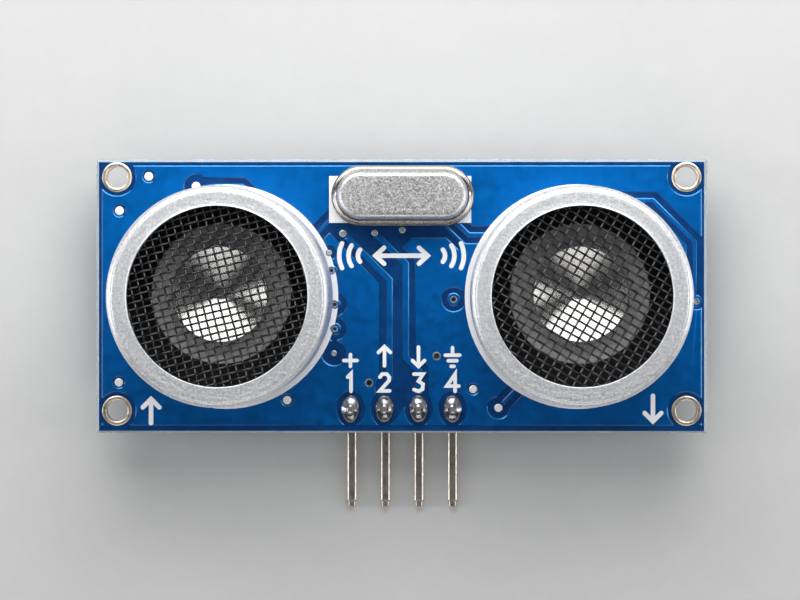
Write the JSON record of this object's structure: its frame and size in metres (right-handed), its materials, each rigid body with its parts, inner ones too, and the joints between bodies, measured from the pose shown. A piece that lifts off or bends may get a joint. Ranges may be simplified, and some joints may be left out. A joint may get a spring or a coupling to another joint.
{
  "type": "ultrasonic distance sensor",
  "caption": "Flat circuit board module with a round ultrasonic transmitter and receiver standing on its face, a crystal between them and a bent row of plug pins.",
  "frame": {"origin": "centre of the bounding box at its underside, which is the plane that the header pins lie on", "axes": "+Z the way the two transducers face, +X along the board from transmitter to receiver, header pins towards -Y"},
  "size_m": [0.0456, 0.0262, 0.0173],
  "materials": {
    "solder_mask": "gloss blue",
    "tin": "tinned",
    "solder": "bright solder",
    "aluminium": "satin",
    "black_mesh": "black coated wire",
    "phenolic": "matte black",
    "silicone": "soft white",
    "piezo_ceramic": "fired ceramic",
    "grey_metal": "matte grey",
    "nickel": "nickel plated",
    "black_plastic": "moulded black",
    "copper": "bare copper",
    "quartz": "polished",
    "resistor": "black glaze with tinned ends",
    "capacitor": "tan ceramic with tinned ends"
  },
  "bodies": {
    "root": {"circuit_board": "solder_mask", "plated_hole_top_left": "tin", "plated_hole_top_right": "tin", "plated_hole_bottom_left": "tin", "plated_hole_bottom_right": "tin", "header_strip": "black_plastic", "header_pin_power": "nickel", "header_pin_trigger": "nickel", "header_pin_echo": "nickel", "header_pin_ground": "nickel", "header_solder_power": "solder", "header_solder_trigger": "solder", "header_solder_echo": "solder", "header_solder_ground": "solder", "transmitter_can": "aluminium", "transmitter_screen": "black_mesh", "transmitter_base": "phenolic", "transmitter_elastic_ring": "silicone", "transmitter_piezo_disc": "piezo_ceramic", "transmitter_vibrating_plate": "grey_metal", "transmitter_horn": "aluminium", "transmitter_terminal_upper": "tin", "transmitter_terminal_lower": "tin", "transmitter_lead_wire_upper": "copper", "transmitter_lead_wire_lower": "copper", "receiver_can": "aluminium", "receiver_screen": "black_mesh", "receiver_base": "phenolic", "receiver_elastic_ring": "silicone", "receiver_piezo_disc": "piezo_ceramic", "receiver_vibrating_plate": "grey_metal", "receiver_horn": "aluminium", "receiver_terminal_upper": "tin", "receiver_terminal_lower": "tin", "receiver_lead_wire_upper": "copper", "receiver_lead_wire_lower": "copper", "crystal_can": "nickel", "crystal_base": "nickel", "crystal_lead_left": "tin", "crystal_lead_right": "tin", "crystal_quartz_blank": "quartz", "transmit_driver_chip": "black_plastic", "controller_chip": "black_plastic", "echo_amplifier_chip": "black_plastic", "transistor": "black_plastic", "resistor_1": "resistor", "resistor_2": "resistor", "resistor_3": "resistor", "resistor_4": "resistor", "resistor_5": "resistor", "resistor_6": "resistor", "resistor_7": "resistor", "resistor_8": "resistor", "capacitor_1": "capacitor", "capacitor_2": "capacitor", "capacitor_3": "capacitor", "capacitor_4": "capacitor", "supply_capacitor": "capacitor"}
  },
  "joints": []
}
